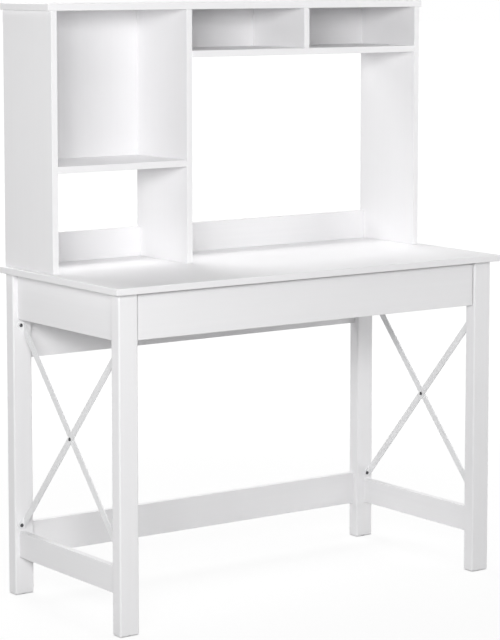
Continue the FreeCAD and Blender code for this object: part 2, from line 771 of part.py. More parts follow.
def cabinet_rail(side, word, carrier):
    """The fixed runner, a channel that is open towards the drawer."""
    body = new_body("cabinet_rail_" + word, ("%d * leg_in" % side, "rail_front", "rail_under"))
    out = "%d * leg_in" % side
    web = "%d * rail_web" % side
    edge = "%d * rail_edge" % side
    outline = [
        (out, "rail_under"), (edge, "rail_under"), (edge, "flange_top"), (web, "flange_top"),
        (web, "rail_over - runner_sheet"), (edge, "rail_over - runner_sheet"),
        (edge, "rail_over"), (out, "rail_over"),
    ]
    sketch = polygon(body, "y", "rail_front", outline)
    pad(body, sketch, "y", "rail_rear - rail_front")
    points = runner_screw_points(web, "front_leg_back", "rail_rear", "roller_level")
    head = "small_head_radius + hole_play"
    hole = drill(body, "x", web, side, "runner_sheet", head, points)
    depth = "rail_screw_length - runner_sheet + hole_bottom"
    drill(carrier, "x", out, side, depth, "small_screw_radius + hole_play", points)
    pin = [(web, "front_roller_place", "roller_level")]
    drill(body, "x", web, side, "runner_sheet", "roller_pin_radius", pin)
    return body, hole


def drawer_rail(side, word, wall):
    """The moving runner: a foot under the drawer side, a web on it and a track above the rollers."""
    body = new_body("drawer_rail_" + word, ("%d * box_out" % side, "drawer_face_back", "box_bottom"))
    web = "%d * box_out" % side
    skin = "%d * (box_out + runner_sheet)" % side
    foot = "%d * (box_out - runner_foot)" % side
    track = "%d * (box_out + runner_sheet + track_width)" % side
    outline = [
        (foot, "box_bottom - runner_sheet"), (skin, "box_bottom - runner_sheet"), (skin, "track_under"),
        (track, "track_under"), (track, "track_top"), (web, "track_top"), (web, "box_bottom"),
        (foot, "box_bottom"),
    ]
    level = "drawer_face_back + hole_bottom"
    sketch = polygon(body, "y", level, outline)
    pad(body, sketch, "y", "box_rear - (%s)" % level)
    height = "roller_level + rail_screw_rise"
    points = runner_screw_points(skin, "drawer_face_back", "box_rear - roller_inset", height)
    head = "small_head_radius + hole_play"
    hole = drill(body, "x", skin, -side, "runner_sheet", head, points)
    depth = "rail_screw_length - runner_sheet + hole_bottom"
    drill(wall, "x", web, -side, depth, "small_screw_radius + hole_play", points)
    pin = [(skin, "rear_roller_place", "roller_level")]
    drill(body, "x", skin, -side, "runner_sheet", "roller_pin_radius", pin)
    return body, hole


def roller(name, side, inner, place):
    """A nylon roller that turns about X, with eased rims."""
    body = new_body(name, (inner, place, "roller_level"))
    start = inner
    finish = "%s + %d * roller_width" % (inner, side)
    ease = "%d * roller_round" % side
    bore = "roller_level + roller_pin_radius + roller_play"
    rim = "roller_level + roller_radius"
    # The half section is drawn square to Y, through the axle.
    outline = [
        (start, bore), (finish, bore), (finish, "%s - roller_round" % rim),
        ("%s - (%s)" % (finish, ease), rim), ("%s + %s" % (start, ease), rim),
        (start, "%s - roller_round" % rim),
    ]
    sketch = polygon(body, "y", place, outline)
    wheel = body.newObject("PartDesign::Revolution", name + "_turned")
    wheel.Profile = sketch
    wheel.ReferenceAxis = (sketch, ["H_Axis"])
    wheel.Angle = 360
    sketch.Visibility = False
    return body


# ---------------------------------------------------------------- hutch

def hutch_panel(name, low_x, high_x, top):
    """An upright of the hutch, screwed to the desktop from below."""
    low = (low_x, "hutch_front", "desk_height")
    body = board(name, low, (high_x, "hutch_rear", "hutch_under"))
    middle = "(%s + %s) / 2" % (low_x, high_x)
    points = [(middle, place, "top_under") for place in ("hutch_fix_front", "hutch_fix_rear")]
    screw_joint(top, "top_thick", body, "z", "top_under", 1, points)
    dowel_joint(body, top, "z", "desk_height", 1, [(middle, "hutch_fix_middle", "desk_height")])
    return body


def hutch_top(panels):
    """The hutch's top board, screwed down on the three uprights."""
    low = ("-hutch_out - hutch_top_overhang", "hutch_front", "hutch_under")
    high = ("hutch_out + hutch_top_overhang", "hutch_rear", "hutch_over")
    body = board("hutch_top", low, high)
    for panel, middle in panels:
        points = [(middle, place, "hutch_over") for place in ("hutch_fix_front", "hutch_fix_rear")]
        screw_joint(body, "board_thick", panel, "z", "hutch_over", -1, points, capped=True)
        dowel_joint(panel, body, "z", "hutch_under", -1, [(middle, "hutch_fix_middle", "hutch_under")])
    return body


def hutch_shelf(name, low_x, high_x, under, over, left_mate, right_mate):
    """A shelf between two uprights, with cams in its underside."""
    low = (low_x, "hutch_front", under)
    body = board(name, low, (high_x, "hutch_rear", over))
    middle = "%s + board_thick / 2" % under
    for level, toward, mate in ((low_x, 1, left_mate), (high_x, -1, right_mate)):
        dowels = [(level, place, middle) for place in ("hutch_fix_front", "hutch_fix_rear")]
        dowel_joint(body, mate, "x", level, toward, dowels)
        cams = [(level, "hutch_fix_middle", middle)]
        cam_joint(body, mate, "x", level, toward, cams, "z", under, 1)
    return body


def hutch_rail(name, low_x, high_x, left_mate, right_mate, dowel_height, cam_height):
    """A low rail at the back of the desktop, with cams on the wall side."""
    low = (low_x, "hutch_rail_face", "desk_height")
    body = board(name, low, (high_x, "hutch_rear", "hutch_rail_over"))
    middle = "hutch_rail_face + board_thick / 2"
    for level, toward, mate in ((low_x, 1, left_mate), (high_x, -1, right_mate)):
        dowel_joint(body, mate, "x", level, toward, [(level, middle, dowel_height)])
        cams = [(level, middle, cam_height)]
        cam_joint(body, mate, "x", level, toward, cams, "y", "hutch_rear", -1, capped=False)
    return body


def divider(shelf, top):
    """The upright between the two cubbies, screwed from above and below."""
    low = ("divider_left", "hutch_front", "cubby_shelf_over")
    body = board("cubby_divider", low, ("divider_right", "back_face", "hutch_under"))
    middle = "divider_left + board_thick / 2"
    below = [(middle, "hutch_fix_front", "cubby_shelf_under")]
    screw_joint(shelf, "board_thick", body, "z", "cubby_shelf_under", 1, below)
    above = [(middle, "hutch_fix_rear", "hutch_over")]
    screw_joint(top, "board_thick", body, "z", "hutch_over", -1, above, capped=True)
    return body


def back_panel(name, low_x, high_x, over, left_mate, right_mate, shelf, top):
    """A thin back let into rebates round a compartment and pinned along its upright edges."""
    wide = "back_lap - back_play"
    low = ("%s - (%s)" % (low_x, wide), "back_face", "%s - (%s)" % (over, wide))
    high = ("%s + %s" % (high_x, wide), "hutch_rear", "hutch_under + %s" % wide)
    body = new_body(name, low)
    sketch = rectangle(body, "z", low[2], low[:2], high[:2])
    pad(body, sketch, "z", "(%s) - (%s)" % (high[2], low[2]))
    rebate_low = "%s - back_lap" % over
    lap_left = "%s - back_lap" % low_x
    lap_right = "%s + back_lap" % high_x
    notch(left_mate, (lap_left, "back_face", rebate_low), (low_x, "hutch_rear", "hutch_under"))
    notch(right_mate, (high_x, "back_face", rebate_low), (lap_right, "hutch_rear", "hutch_under"))
    notch(shelf, (low_x, "back_face", rebate_low), (high_x, "hutch_rear", over))
    notch(top, (lap_left, "back_face", "hutch_under"), (lap_right, "hutch_rear", "hutch_under + back_lap"))
    height = size("hutch_under") - size(over)
    count = max(2, int(height / size("pin_pitch")))
    radius = "pin_radius + hole_play"
    depth = "pin_length - back_thick + hole_bottom"
    for x, mate in (("%s - pin_edge" % low_x, left_mate), ("%s + pin_edge" % high_x, right_mate)):
        points = []
        for i in range(count):
            share = (i + 0.5) / count
            points.append((x, "hutch_rear", "%s + %.4f * (hutch_under - %s)" % (over, share, over)))
        hole = drill(body, "y", "hutch_rear", -1, "back_thick", radius, points)
        drill(mate, "y", "back_face", -1, depth, radius, points)
        back_pin_holes.append(hole)
    return body


# ---------------------------------------------------------------- fasteners

def hole_axes(hole):
    """Where each hole of a drilling starts, in the desk's frame, and which way it goes."""
    body, sketch, direction = hole
    place = body.Placement.multiply(sketch.Placement)
    return [(place.multVec(circle.Center), direction) for circle in sketch.Geometry]


def turned(outline):
    """A solid turned about Z from a half section of (radius, height) corners."""
    points = [Vector(radius, 0, height) for radius, height in outline]
    face = Part.Face(Part.makePolygon(points + points[:1]))
    return face.revolve(Vector(0, 0, 0), Vector(0, 0, 1), 360)


def seated(shape, point, direction):
    """A copy of a shape with its origin at the point and its +Z along the direction."""
    copy = shape.copy()
    copy.Placement = Placement(point, Rotation(Vector(0, 0, 1), direction))
    return copy


def group(name, shapes):
    """One node that holds several separate, like solids."""
    feature = doc.addObject("Part::Feature", name)
    feature.Label = name
    feature.Shape = Part.makeCompound(shapes)
    nodes.append(feature)


def each_axis(holes):
    return [axis for hole in holes for axis in hole_axes(hole)]


def dowels():
    """Beech dowels with chamfered ends, a third of each in the mate's face."""
    radius = size("dowel_radius")
    chamfer = radius / 4
    low = -size("dowel_seat")
    high = low + size("dowel_length")
    shape = turned([
        (0, low), (radius - chamfer, low), (radius, low + chamfer),
        (radius, high - chamfer), (radius - chamfer, high), (0, high),
    ])
    group("dowels", [seated(shape, point, way) for point, way in each_axis(dowel_holes)])
    group("drawer_dowels", [seated(shape, point, way) for point, way in each_axis(drawer_dowel_holes)])


def cam_bolts():
    """Cam bolts: thread in the mate, collar in the board's hole, thin shank and head at the cam."""
    thread = size("cam_thread_radius")
    shank = size("cam_shank_radius")
    head = size("cam_head_radius")
    low = -size("cam_thread_length")
    neck = size("cam_reach") - size("cam_head_length") / 2
    tip = neck + size("cam_head_length")
    ease = size("cam_bolt_ease")
    collar = size("cam_collar")
    shape = turned([
        (0, low), (thread - ease, low), (thread, low + ease), (thread, 0), (head, 0), (head, collar),
        (shank, 2 * collar), (shank, neck - ease), (head, neck), (head, tip - ease), (head - ease, tip),
        (0, tip),
    ])
    group("cam_bolts", [seated(shape, point, way) for point, way in each_axis(cam_bolt_holes)])


def screwdriver_cross(length, width, depth):
    """The room that a cross-headed screwdriver's tip takes, from the origin towards +Z."""
    first = Part.makeBox(length, width, depth, Vector(-length / 2, -width / 2, 0))
    second = Part.makeBox(width, length, depth, Vector(-width / 2, -length / 2, 0))
    return first.fuse(second)


def cam_solid():
    """A cam drum with its mouth towards +X and a screwdriver cross in its face; +Z goes in."""
    radius = size("cam_radius")
    height = size("cam_height")
    slot = size("cam_slot")
    ease = size("cam_ease")
    axis_depth = size("board_thick") / 2
    drum = turned([(0, 0), (radius - ease, 0), (radius, ease), (radius, height), (0, height)])
    mouth = Part.makeBox(radius + slot, slot, slot, Vector(-slot / 2, -slot / 2, axis_depth - slot / 2))
    cross = screwdriver_cross(size("cam_cross_length"), size("cam_cross_width"), size("cam_cross_depth"))
    return drum.cut(mouth).cut(cross)


def cams():
    """The cams, with their mouths towards the bolts, and thin caps over those on seen faces."""
    drum = cam_solid()
    cap_radius = size("cam_cap_radius")
    cap_height = size("cam_cap_height")
    cap = turned([(0, 0), (cap_radius, 0), (cap_radius - cap_height / 2, -cap_height), (0, -cap_height)])
    drums = []
    caps = []
    for hole, mouth_way, capped in cam_pockets:
        for point, way in hole_axes(hole):
            side_way = way.cross(mouth_way)
            turn = Rotation(mouth_way, side_way, way, "ZXY")
            copy = drum.copy()
            copy.Placement = Placement(point, turn)
            drums.append(copy)
            if capped:
                caps.append(seated(cap, point, way))
    group("cam_locks", drums)
    group("cam_caps", caps)


def hexagon_prism(across_flats, height):
    """A hexagonal prism standing on the origin."""
    radius = across_flats / math.sqrt(3)
    points = []
    for i in range(6):
        angle = i * math.pi / 3
        points.append(Vector(radius * math.cos(angle), radius * math.sin(angle), 0))
    face = Part.Face(Part.makePolygon(points + points[:1]))
    return face.extrude(Vector(0, 0, height))


def connecting_screws():
    """Connecting screws with hexagon-socket heads, and the flush caps over those in the top."""
    head = size("screw_head_radius")
    head_height = size("screw_head_height")
    shank = size("screw_shank_radius")
    thread = size("screw_thread_radius")
    length = size("screw_length")
    shank_end = size("board_thick") - size("screw_cap_height") - size("screw_shank_short")
    shape = turned([
        (0, 0), (head, 0), (head, head_height / 2), (shank, head_height), (shank, shank_end),
        (thread, shank_end + shank - thread), (thread, length - size("screw_tip_length")),
        (size("screw_tip_radius"), length), (0, length),
    ])
    shape = shape.cut(hexagon_prism(size("screw_socket_width"), size("screw_socket_depth")))
    group("connecting_screws", [seated(shape, point, way) for point, way in each_axis(screw_holes)])
    cap_radius = size("screw_cap_radius")
    cap_height = size("screw_cap_height")
    cap = turned([(0, 0), (cap_radius, 0), (cap_radius, cap_height), (0, cap_height)])
    group("screw_caps", [seated(cap, point, way) for point, way in each_axis(capped_screw_holes)])


def small_screw(length):
    """A flat-headed wood screw whose head lies flush; +Z goes in."""
    head = size("small_head_radius")
    head_height = size("small_head_height")
    shank = size("small_screw_radius")
    shape = turned([
        (0, 0), (head, 0), (head, head_height / 2), (shank, head_height),
        (shank, length - size("small_tip_length")), (size("small_tip_radius"), length), (0, length),
    ])
    arm = size("small_cross_length")
    return shape.cut(screwdriver_cross(arm, size("small_cross_width"), size("small_cross_depth")))


def runner_screws(cabinet_holes, drawer_holes, batten_holes):
    """Screws of the fixed runners, the moving runners and the battens."""
    short = small_screw(size("rail_screw_length"))
    long = small_screw(size("batten_screw_length"))
    group("cabinet_rail_screws", [seated(short, point, way) for point, way in each_axis(cabinet_holes)])
    group("drawer_rail_screws", [seated(short, point, way) for point, way in each_axis(drawer_holes)])
    group("batten_screws", [seated(long, point, way) for point, way in each_axis(batten_holes)])


def back_pins():
    """Headless panel pins, driven in flush through the thin backs from the wall side."""
    radius = size("pin_radius")
    length = size("pin_length")
    shape = turned([(0, 0), (radius, 0), (radius, length - size("pin_tip")), (0, length)])
    group("back_pins", [seated(shape, point, way) for point, way in each_axis(back_pin_holes)])


def glides(nail_holes):
    """A plastic glide under each leg, with the nail that holds it."""
    radius = size("glide_radius")
    height = size("glide_height")
    ease = size("glide_round")
    nail = size("nail_radius")
    tip = size("nail_length")
    shape = turned([
        (0, -height), (radius - ease, -height), (radius, ease - height), (radius, 0),
        (nail, 0), (nail, tip - size("nail_tip")), (0, tip),
    ])
    group("foot_glides", [seated(shape, point, way) for point, way in each_axis(nail_holes)])


def domed_head(outline):
    """A low domed head with a hexagon socket, on a stem that is turned from an outline."""
    head = size("brace_head_radius")
    top = -size("brace_head_height")
    dome = [(0, top), (0.55 * head, top), (0.9 * head, 0.55 * top), (head, 0)]
    socket = hexagon_prism(size("brace_socket_width"), size("brace_socket_depth"))
    return turned(dome + outline).cut(seated(socket, Vector(0, 0, top), Vector(0, 0, 1)))


def brace_hardware():
    """Dark domed screws at the braces' ends, and a bolt and a cap nut where they cross."""
    head = size("brace_head_radius")
    shank = size("brace_screw_radius")
    length = size("brace_screw_length")
    taper = length - size("brace_screw_tip")
    tip = size("screw_tip_radius")
    screw = domed_head([(shank, 0), (shank, taper), (tip, length), (0, length)])
    group("brace_screws", [seated(screw, point, way) for point, way in each_axis(brace_screw_holes)])
    stack = 2 * size("brace_thick")
    nut_height = size("brace_nut_height")
    floor = nut_height - size("brace_nut_crown")
    bolt = domed_head([(shank, 0), (shank, stack + floor), (0, stack + floor)])
    bore = shank + size("hole_play")
    nut = turned([
        (bore, 0), (head, 0), (0.9 * head, 0.6 * nut_height), (0.55 * head, nut_height),
        (0, nut_height), (0, floor), (bore, floor),
    ])
    crossings = each_axis(brace_bolt_holes)
    group("brace_cross_bolts", [seated(bolt, point, way) for point, way in crossings])
    group("brace_cross_nuts", [seated(nut, point + way * stack, way) for point, way in crossings])


def roller_pins():
    """The axle pins: two riveted in the fixed runners and two in the moving ones."""
    radius = size("roller_pin_radius")
    head = size("roller_pin_head")
    head_height = size("roller_pin_head_height")
    gap = size("roller_side_gap")
    sheet_thick = size("runner_sheet")
    reach = gap + size("roller_width") + gap
    shape = turned([
        (0, -sheet_thick), (radius, -sheet_thick), (radius, reach), (head, reach),
        (head, reach + head_height), (0, reach + head_height),
    ])
    fixed = []
    moving = []
    for side in (-1, 1):
        web = Vector(side * size("rail_web"), size("front_roller_place"), size("roller_level"))
        fixed.append(seated(shape, web, Vector(-side, 0, 0)))
        skin = size("box_out") + sheet_thick
        wall = Vector(side * skin, size("rear_roller_place"), size("roller_level"))
        moving.append(seated(shape, wall, Vector(side, 0, 0)))
    group("front_roller_pins", fixed)
    group("rear_roller_pins", moving)


def bracket_places():
    """Corner point of each bracket and the way from the board towards the desk's inside."""
    places = []
    front_row = size("front_leg_back") + size("bracket_inset")
    rear_row = size("rear_leg_face") - size("bracket_inset")
    for side in (-1, 1):
        for y in (front_row, rear_row):
            places.append((Vector(side * size("apron_in"), y, size("top_under")), Vector(-side, 0, 0)))
        x = side * size("bracket_rear_spread")
        places.append((Vector(x, size("rear_panel_face"), size("top_under")), Vector(0, -1, 0)))
    return places


def bracket_holes(top, left_apron, right_apron, panel):
    """Pilot holes for the bracket screws in the desktop and in the boards below it."""
    depth = "bracket_screw_length - bracket_thick + hole_bottom"
    radius = "small_screw_radius + hole_play"
    rows = ("front_leg_back + bracket_inset", "rear_leg_face - bracket_inset")
    down = "top_under - bracket_hole"
    for side, apron in ((-1, left_apron), (1, right_apron)):
        face = "%d * apron_in" % side
        inside = "%d * (apron_in - bracket_hole)" % side
        drill(apron, "x", face, side, depth, radius, [(face, row, down) for row in rows])
        drill(top, "z", "top_under", 1, depth, radius, [(inside, row, "top_under") for row in rows])
    spread = ("-bracket_rear_spread", "bracket_rear_spread")
    drill(panel, "y", "rear_panel_face", 1, depth, radius, [(x, "rear_panel_face", down) for x in spread])
    row = "rear_panel_face - bracket_hole"
    drill(top, "z", "top_under", 1, depth, radius, [(x, row, "top_under") for x in spread])


def brackets():
    """Steel angle brackets that tie the desktop to the aprons and the rear panel."""
    arm = size("bracket_leg")
    width = size("bracket_width")
    thick = size("bracket_thick")
    hole = size("bracket_hole")
    down = Part.makeBox(thick, width, arm, Vector(0, -width / 2, -arm))
    across = Part.makeBox(arm, width, thick, Vector(0, -width / 2, -thick))
    angle = down.fuse(across).removeSplitter()
    inner = [edge for edge in angle.Edges if abs(edge.CenterOfMass.x - thick) < 0.01
             and abs(edge.CenterOfMass.z + thick) < 0.01]
    angle = angle.makeFillet(thick / 2, inner)
    bore = size("bracket_bore_radius")
    angle = angle.cut(Part.makeCylinder(bore, 3 * thick, Vector(-thick, 0, -hole), Vector(1, 0, 0)))
    angle = angle.cut(Part.makeCylinder(bore, 3 * thick, Vector(hole, 0, -2 * thick), Vector(0, 0, 1)))
    head = size("small_head_radius")
    shank = size("small_screw_radius")
    length = size("bracket_screw_length")
    head_height = size("bracket_head_height")
    taper = length - size("small_tip_length")
    screw = turned([
        (0, -head_height), (head * 0.6, -head_height), (head, -head_height / 3), (head, 0),
        (shank, 0), (shank, taper), (size("small_tip_radius"), length), (0, length),
    ])
    angles = []
    screws = []
    for corner, inward in bracket_places():
        turn = Rotation(Vector(1, 0, 0), inward)
        copy = angle.copy()
        copy.Placement = Placement(corner, turn)
        angles.append(copy)
        on_board = corner + inward * thick - Vector(0, 0, hole)
        on_top = corner + inward * hole - Vector(0, 0, thick)
        screws.append(seated(screw, on_board, inward * -1))
        screws.append(seated(screw, on_top, Vector(0, 0, 1)))
    group("desktop_brackets", angles)
    group("bracket_screws", screws)


# ---------------------------------------------------------------- assembly

def build_desk():
    """The desk without its drawer: returns the boards that other pieces are fixed to."""
    top = desktop()
    front = ("front_leg_face", "front_leg_back")
    rear = ("rear_leg_face", "rear_leg_back")
    front_left = leg("leg_front_left", -1, *front)
    front_right = leg("leg_front_right", 1, *front)
    rear_left = leg("leg_rear_left", -1, *rear)
    rear_right = leg("leg_rear_right", 1, *rear)
    left_apron, _ = side_frame(-1, "left", front_left[0], rear_left[0])
    right_apron, _ = side_frame(1, "right", front_right[0], rear_right[0])
    panel, _ = rear_boards(rear_left[0], rear_right[0])
    seat_desktop(top, [(front_left, -1) + front, (front_right, 1) + front,
                       (rear_left, -1) + rear, (rear_right, 1) + rear])
    for side, fore, aft in ((-1, front_left[0], rear_left[0]), (1, front_right[0], rear_right[0])):
        brace_holes(fore, side, "front_leg_back", -1, "brace_low", "brace_high")
        brace_holes(aft, side, "rear_leg_face", 1, "brace_high", "brace_low")
    bracket_holes(top, left_apron, right_apron, panel)
    braces()
    nails = [post[1] for post in (front_left, front_right, rear_left, rear_right)]
    return top, left_apron, right_apron, nails


def build_drawer(left_apron, right_apron):
    """The drawer, its battens, runners and rollers: returns the holes for their screws."""
    front = drawer_front()
    left = drawer_side(-1, "left", front)
    right = drawer_side(1, "right", front)
    drawer_back(left, right)
    drawer_bottom()
    cabinet_holes = []
    moving_holes = []
    batten_holes = []
    for side, word, apron, wall in ((-1, "left", left_apron, left), (1, "right", right_apron, right)):
        carrier, batten_hole = batten(side, word, apron)
        _, cabinet_hole = cabinet_rail(side, word, carrier)
        _, drawer_hole = drawer_rail(side, word, wall)
        cabinet_holes.append(cabinet_hole)
        moving_holes.append(drawer_hole)
        batten_holes.append(batten_hole)
        near_web = "%d * (rail_web - roller_side_gap - roller_width)" % side
        near_wall = "%d * (box_out + runner_sheet + roller_side_gap)" % side
        roller("front_roller_" + word, side, near_web, "front_roller_place")
        roller("rear_roller_" + word, side, near_wall, "rear_roller_place")
    return cabinet_holes, moving_holes, batten_holes


def build_hutch(top):
    """The hutch that stands on the rear half of the desktop."""
    left = hutch_panel("hutch_panel_left", "-hutch_out", "-hutch_in", top)
    middle = hutch_panel("hutch_panel_middle", "middle_left", "middle_right", top)
    right = hutch_panel("hutch_panel_right", "hutch_in", "hutch_out", top)
    centres = ("-hutch_in - board_thick / 2", "middle_left + board_thick / 2", "hutch_in + board_thick / 2")
    roof = hutch_top(list(zip((left, middle, right), centres)))
    cube = hutch_shelf("cube_shelf", "-hutch_in", "middle_left", "cube_shelf_under", "cube_shelf_over",
                       left, middle)
    cubby = hutch_shelf("cubby_shelf", "middle_right", "hutch_in", "cubby_shelf_under", "cubby_shelf_over",
                        middle, right)
    divider(cubby, roof)
    hutch_rail("hutch_rail_left", "-hutch_in", "middle_left", left, middle,
               "desk_height + edge_fixing", "desk_height + edge_fixing + cam_reach")
    hutch_rail("hutch_rail_right", "middle_right", "hutch_in", middle, right,
               "desk_height + rail_fixing", "desk_height + rail_cam")
    back_panel("cube_back", "-hutch_in", "middle_left", "cube_shelf_over", left, middle, cube, roof)
    back_panel("cubby_back", "middle_right", "hutch_in", "cubby_shelf_over", middle, right, cubby, roof)


def check_document():
    """Stops if any object failed, or a sub-part's shape is empty or broken."""
    for item in doc.Objects:
        if "Invalid" in item.State or "Error" in item.State:
            raise RuntimeError("%s failed: %s" % (item.Name, item.State))
    for node in nodes:
        if node.Shape.isNull() or not node.Shape.isValid() or not node.Shape.Solids:
            raise RuntimeError("%s has no valid solid" % node.Label)


def write_parts():
    """One STEP file for each sub-part, named after it."""
    os.makedirs("parts", exist_ok=True)
    for node in nodes:
        node.Shape.exportStep(os.path.join("parts", node.Label + ".step"))


fill_sheet()
top_board, apron_left, apron_right, glide_holes = build_desk()
runner_holes = build_drawer(apron_left, apron_right)
build_hutch(top_board)
doc.recompute()
dowels()
cam_bolts()
cams()
connecting_screws()
runner_screws(*runner_holes)
back_pins()
glides(glide_holes)
brace_hardware()
roller_pins()
brackets()
doc.recompute()
check_document()
write_parts()
print("%d nodes, %d solids" % (len(nodes), sum(len(node.Shape.Solids) for node in nodes)))
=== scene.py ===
import bmesh
import bpy
import math
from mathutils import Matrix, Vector

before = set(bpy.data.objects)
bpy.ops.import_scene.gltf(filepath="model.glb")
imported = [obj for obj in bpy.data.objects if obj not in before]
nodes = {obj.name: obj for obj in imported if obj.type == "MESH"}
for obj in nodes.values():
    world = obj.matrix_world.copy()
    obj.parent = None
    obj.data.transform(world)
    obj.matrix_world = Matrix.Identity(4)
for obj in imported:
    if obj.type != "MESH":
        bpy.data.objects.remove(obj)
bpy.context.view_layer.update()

# ------------------------------------------------------------------ view, room and light
# The desk stands on a pale studio floor and is seen from its left front, from a little
# above the hutch. The main light comes from the left front. Softer lamps stand round the
# desk, and one high behind it lights its tops, so that every side keeps its own tone.

bpy.context.scene.view_settings.view_transform = "Standard"

CAMERA_PLACE = (-3.2416, -4.4955, 1.412)
CAMERA_AZIMUTH = math.radians(35.683)
CAMERA_PITCH = math.radians(6.108)     # down from level
SENSOR_WIDTH = 36.0                    # millimetres
PICTURE_HEIGHT = 640                   # pixels
FOCAL_PIXELS = 2439.7
PICTURE_SHIFT = -0.14                  # share of the picture's height
FARTHEST_SEEN = 200.0
camera_data = bpy.data.cameras.new("camera")
camera_data.sensor_width = SENSOR_WIDTH
camera_data.lens = SENSOR_WIDTH * FOCAL_PIXELS / PICTURE_HEIGHT
camera_data.shift_y = PICTURE_SHIFT
camera_data.clip_end = FARTHEST_SEEN
camera = bpy.data.objects.new("camera", camera_data)
camera.location = CAMERA_PLACE
camera.rotation_euler = (math.radians(90) - CAMERA_PITCH, 0, -CAMERA_AZIMUTH)
bpy.context.scene.collection.objects.link(camera)
bpy.context.scene.camera = camera


class Value:
    """A shader socket in a Python expression. Each operator adds one Math node."""

    def __init__(self, finish, socket):
        self.finish = finish
        self.socket = socket

    def _math(self, operation, other):
        return self.finish.node("ShaderNodeMath", {"operation": operation}, {
            0: self, 1: other})["Value"]

    def __add__(self, other):
        return self._math("ADD", other)

    def __mul__(self, other):
        return self._math("MULTIPLY", other)

    __radd__ = __add__
    __rmul__ = __mul__

    def larger(self, other):
        """The larger of two values."""
        return self._math("MAXIMUM", other)


class Finish:
    """The shader nodes of a material, or of the room's light."""

    def __init__(self, owner, ending="ShaderNodeOutputMaterial"):
        owner.use_nodes = True
        self.owner = owner
        self.tree = owner.node_tree
        self.tree.nodes.clear()
        self.output = self.tree.nodes.new(ending)

    def node(self, kind, settings=None, inputs=None):
        """Adds a node, sets it up, feeds its sockets, and returns its outputs by name."""
        made = self.tree.nodes.new(kind)
        for name, setting in (settings or {}).items():
            setattr(made, name, setting)
        in_use = {socket.name: socket for socket in made.inputs if socket.enabled}
        for name, value in (inputs or {}).items():
            socket = made.inputs[name] if isinstance(name, int) else in_use[name]
            if isinstance(value, Value):
                self.tree.links.new(value.socket, socket)
            else:
                socket.default_value = value
        return {socket.name: Value(self, socket) for socket in made.outputs if socket.enabled}

    def place(self):
        """Where a point of the piece lies, in the desk's frame."""
        return self.node("ShaderNodeTexCoord")["Object"]

    def vector(self, operation, first, second=(0.0, 0.0, 0.0)):
        """A difference or quotient of two vectors, or a vector without its signs."""
        return self.node("ShaderNodeVectorMath", {"operation": operation}, {
            0: first, 1: second})["Vector"]

    def rise(self, distance, near, gone, share):
        """Climbs softly from 1 - share at the near distance to 1 at the other."""
        return self.node("ShaderNodeMapRange", {"interpolation_type": "SMOOTHSTEP"}, {
            "Value": distance, "From Min": near, "From Max": gone,
            "To Min": 1 - share, "To Max": 1.0})["Result"]

    def seen(self):
        """1 for rays that show the surface itself, 0 for those that take its light elsewhere."""
        ray = self.node("ShaderNodeLightPath")
        return ray["Is Camera Ray"] + ray["Is Glossy Ray"] + ray["Is Transmission Ray"]

    def noise(self, vector, scale, detail, roughness, distortion=0.0):
        """Soft random figure from 0 to 1."""
        return self.node("ShaderNodeTexNoise", inputs={
            "Vector": vector, "Scale": scale, "Detail": detail, "Roughness": roughness,
            "Distortion": distortion})["Fac"]

    def blend(self, share, first, second):
        """A colour between two."""
        return self.node("ShaderNodeMix", {"data_type": "RGBA"}, {
            "Factor": share, "A": first, "B": second})["Result"]

    def relief(self, strength, depth, height):
        """The surface tilted by a height figure."""
        return self.node("ShaderNodeBump", inputs={
            "Strength": strength, "Distance": depth, "Height": height})["Normal"]

    def coated(self, inputs):
        """Ends the material in a general surface shader."""
        return self.surface(self.node("ShaderNodeBsdfPrincipled", inputs=inputs)["BSDF"])

    def shared(self, share, first, second):
        """Ends the nodes in a mix of two shaders."""
        return self.surface(self.node("ShaderNodeMixShader", inputs={
            0: share, 1: first, 2: second})["Shader"])

    def surface(self, shader):
        """Ends the nodes in a shader."""
        self.tree.links.new(shader.socket, self.output.inputs["Surface"])
        return self.owner


WHITE = (1, 1, 1, 1)
FLOOR_REACH = 60.0
FLOOR_SIDES = 96
FLOOR_PAINT = (0.62, 0.62, 0.62, 1)
FLOOR_GLOW = 1.07
SHADOW_NEAR = 1.1        # metres from the desk's middle at which its shadow starts to fade
SHADOW_GONE = 2.6
SHADOW_SHARE = 0.16      # of the shadow that the floor shows there
LEGS_MIDDLE = (0.0, 0.0075, 0.0)
LEG_FROM_MIDDLE = (0.491, 0.2195, 0.0)
LEG_HALF_SIZE = (0.024, 0.016, 1.0)
CONTACT_NEAR = 0.85      # half sizes from a leg's middle at which the shadow under it fades
CONTACT_GONE = 1.1
CONTACT_SHARE = 0.6


def floor_paint():
    """Pale floor that looks white, with a part of the shadow near the desk and under its legs."""
    paint = Finish(bpy.data.materials.new("studio_floor"))
    place = paint.place()
    from_desk = paint.node("ShaderNodeVectorMath", {"operation": "LENGTH"}, {0: place})["Value"]
    plain = paint.rise(from_desk, SHADOW_NEAR, SHADOW_GONE, SHADOW_SHARE)
    from_middle = paint.vector("ABSOLUTE", paint.vector("SUBTRACT", place, LEGS_MIDDLE))
    from_leg = paint.vector("ABSOLUTE", paint.vector("SUBTRACT", from_middle, LEG_FROM_MIDDLE))
    half_sizes = paint.node("ShaderNodeSeparateXYZ", inputs={
        "Vector": paint.vector("DIVIDE", from_leg, LEG_HALF_SIZE)})
    clear = paint.rise(half_sizes["X"].larger(half_sizes["Y"]),
                       CONTACT_NEAR, CONTACT_GONE, CONTACT_SHARE)
    matt = paint.node("ShaderNodeBsdfDiffuse", inputs={"Color": FLOOR_PAINT})["BSDF"]
    glow = paint.node("ShaderNodeEmission", inputs={
        "Color": WHITE, "Strength": FLOOR_GLOW})["Emission"]
    return paint.shared(paint.seen() * plain * clear, matt, glow)


